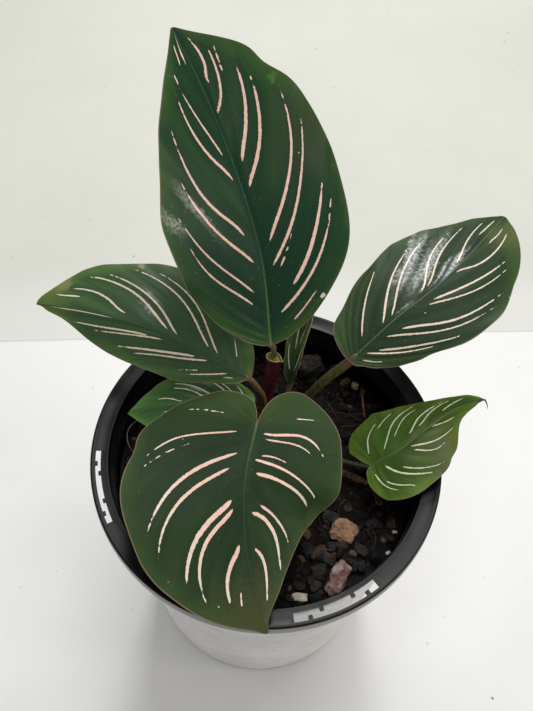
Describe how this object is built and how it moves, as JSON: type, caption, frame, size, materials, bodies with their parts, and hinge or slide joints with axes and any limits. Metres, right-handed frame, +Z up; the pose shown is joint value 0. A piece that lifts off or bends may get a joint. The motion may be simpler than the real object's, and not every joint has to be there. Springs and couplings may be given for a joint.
{
  "type": "potted pinstripe calathea",
  "caption": "Leafy houseplant with pink-striped oval leaves on slim stalks, growing in a tall round nursery pot with label slots in its rim.",
  "frame": {"origin": "centre of the pot's flat underside", "axes": "+Z up out of the pot, -Y toward the side the picture is taken from, +X to that view's right"},
  "size_m": [0.2692, 0.2397, 0.371],
  "materials": {
    "pot_plastic": "satin",
    "potting_mix": "matt",
    "leaf": "glossy",
    "young_leaf": "satin",
    "sheath": "satin",
    "bark": "rough",
    "pale_bark": "rough",
    "prill": "satin"
  },
  "bodies": {
    "root": {"pot": "pot_plastic", "soil": "potting_mix", "leaf_sheath": "sheath", "old_stem": "bark", "wood_twig": "pale_bark", "fertiliser_prill": "prill", "leaf_tall": "leaf", "leaf_left": "leaf", "leaf_right": "leaf", "leaf_front": "leaf", "leaf_low_right": "young_leaf", "leaf_low_left": "leaf", "leaf_narrow": "leaf", "bark_lump": "bark", "bark_chip_tan": "pale_bark", "bark_chip_brown": "bark", "bark_chip_cream": "pale_bark", "bark_chip_small": "bark"}
  },
  "joints": []
}
